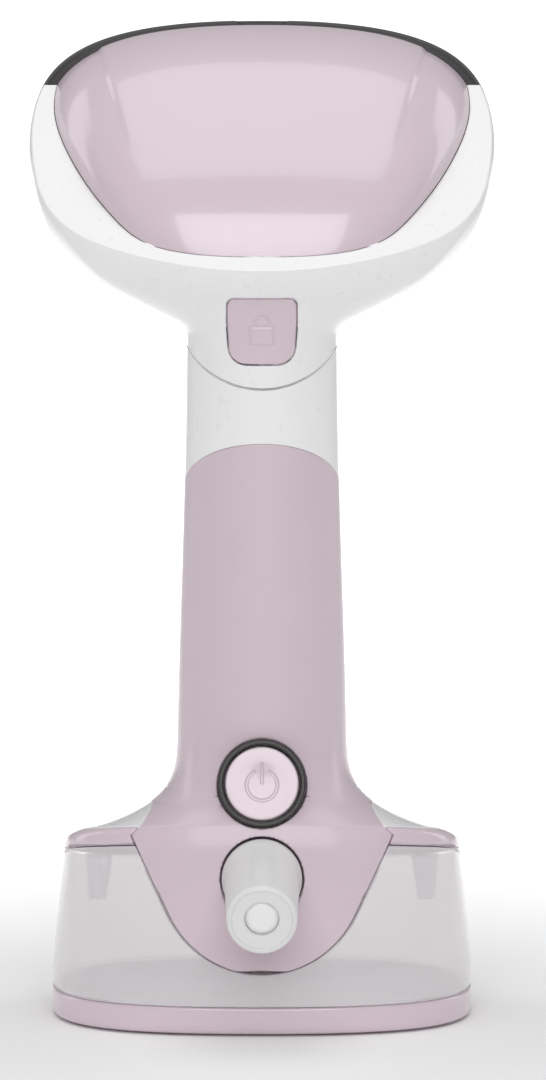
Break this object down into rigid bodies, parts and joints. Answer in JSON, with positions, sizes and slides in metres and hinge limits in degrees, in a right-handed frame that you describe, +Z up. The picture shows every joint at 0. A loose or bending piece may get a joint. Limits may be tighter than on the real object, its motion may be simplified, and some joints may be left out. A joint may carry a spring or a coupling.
{
  "type": "garment steamer",
  "caption": "Handheld garment steamer with an oval steam head on a slim handle, standing on its clear water tank.",
  "frame": {"origin": "middle of the rubber pad's underside, on the surface that the steamer stands on", "axes": "+Z up, +Y the way the steam plate faces, -Y the side of the power button and the cord guard, +X across"},
  "size_m": [0.119, 0.1027, 0.25],
  "materials": {
    "white_shell": "glossy moulded plastic",
    "pink_shell": "glossy moulded plastic",
    "pink_soft": "satin moulded plastic",
    "black_frame": "satin moulded plastic",
    "dark_ring": "glossy moulded plastic",
    "guard_grey": "soft moulded sleeve",
    "clear_tank": "clear moulded plastic",
    "steam_metal": "brushed steel with holes",
    "cast_aluminium": "cast",
    "sheet_steel": "plain sheet",
    "seal_rubber": "silicone",
    "clear_rubber": "silicone",
    "pad_rubber": "rubber",
    "black_plastic": "moulded plastic",
    "board_green": "printed board",
    "copper": "wound wire",
    "lead_red": "insulated wire",
    "bare_steel": "plated steel"
  },
  "bodies": {
    "handle": {"head_shell": "white_shell", "head_cover": "pink_shell", "steam_plate_frame": "black_frame", "steam_plate": "steam_metal", "boiler_block": "cast_aluminium", "heating_element": "bare_steel", "boiler_gasket": "seal_rubber", "boiler_cover": "sheet_steel", "boiler_screws": "bare_steel", "thermostat": "black_plastic", "thermal_fuse": "bare_steel", "water_inlet": "bare_steel", "handle_shell": "white_shell", "grip_cover": "pink_soft", "handle_screws": "bare_steel", "base_plate": "black_plastic", "base_screws": "bare_steel", "water_nipple": "black_plastic", "trigger_pin": "bare_steel", "trigger_bracket": "black_plastic", "trigger_switch": "black_plastic", "trigger_spring": "bare_steel", "lock_board": "board_green", "lock_switch": "black_plastic", "lock_spring": "bare_steel", "power_ring": "dark_ring", "power_switch": "black_plastic", "control_board": "board_green", "board_parts": "black_plastic", "pump_coil": "copper", "pump_tube": "black_plastic", "pump_spring": "bare_steel", "pump_mounts": "seal_rubber", "suction_hose": "clear_rubber", "pressure_hose": "clear_rubber", "heater_leads": "lead_red", "cord_clamp": "black_plastic"},
    "trigger": {"trigger": "pink_shell"},
    "switch_lever": {"switch_lever": "bare_steel"},
    "lock_button": {"lock_button": "pink_shell"},
    "power_button": {"power_button": "pink_shell"},
    "piston": {"pump_piston": "bare_steel"},
    "knuckle": {"swivel_knuckle": "guard_grey"},
    "guard": {"cord_guard": "guard_grey"},
    "tank": {"tank_body": "clear_tank", "tank_lid": "pink_shell", "tank_foot": "pink_shell", "foot_pad": "pad_rubber", "tank_valve": "clear_rubber", "intake_pipe": "clear_rubber"},
    "filler_plug": {"filler_plug": "pink_soft"}
  },
  "joints": [
    {"name": "trigger_pull", "type": "hinge", "parent": "handle", "child": "trigger", "pos_m": [0, 0.01, 0.157], "axis": [-1, 0, 0], "range_deg": [0, 6], "stiffness_Nm_per_rad": 0.5, "springref_deg": -2.86, "deforming": ["trigger_spring"]},
    {"name": "switch_lever_press", "type": "hinge", "parent": "handle", "child": "switch_lever", "pos_m": [0, 0.007, 0.142], "axis": [-1, 0, 0], "range_deg": [0, 10]},
    {"name": "lock_press", "type": "slide", "parent": "handle", "child": "lock_button", "axis": [0, 1, 0], "range_m": [0, 0.0015], "stiffness_N_per_m": 400, "springref_m": -0.001, "deforming": ["lock_spring"]},
    {"name": "power_press", "type": "slide", "parent": "handle", "child": "power_button", "axis": [0, 0.9703, -0.2419], "range_m": [0, 0.0012], "stiffness_N_per_m": 400, "springref_m": -0.001},
    {"name": "pump_stroke", "type": "slide", "parent": "handle", "child": "piston", "axis": [0, 0, 1], "range_m": [-0.002, 0.002], "stiffness_N_per_m": 300, "deforming": ["pump_spring"]},
    {"name": "guard_turn", "type": "hinge", "parent": "handle", "child": "knuckle", "pos_m": [0, -0.03, 0.04], "axis": [0, 0, 1], "range_deg": [-18, 18]},
    {"name": "guard_tip", "type": "hinge", "parent": "knuckle", "child": "guard", "pos_m": [0, -0.03, 0.04], "axis": [1, 0, 0], "range_deg": [-14, 10]},
    {"name": "tank_release", "type": "slide", "parent": "handle", "child": "tank", "axis": [0, 0, -1], "range_m": [0, 0.06]},
    {"name": "filler_plug_pull", "type": "slide", "parent": "tank", "child": "filler_plug", "axis": [0, 1, 0], "range_m": [0, 0.02]}
  ],
  "couplings": [
    {"joint": "switch_lever_press", "follows": "trigger_pull", "ratio": 1.6}
  ]
}
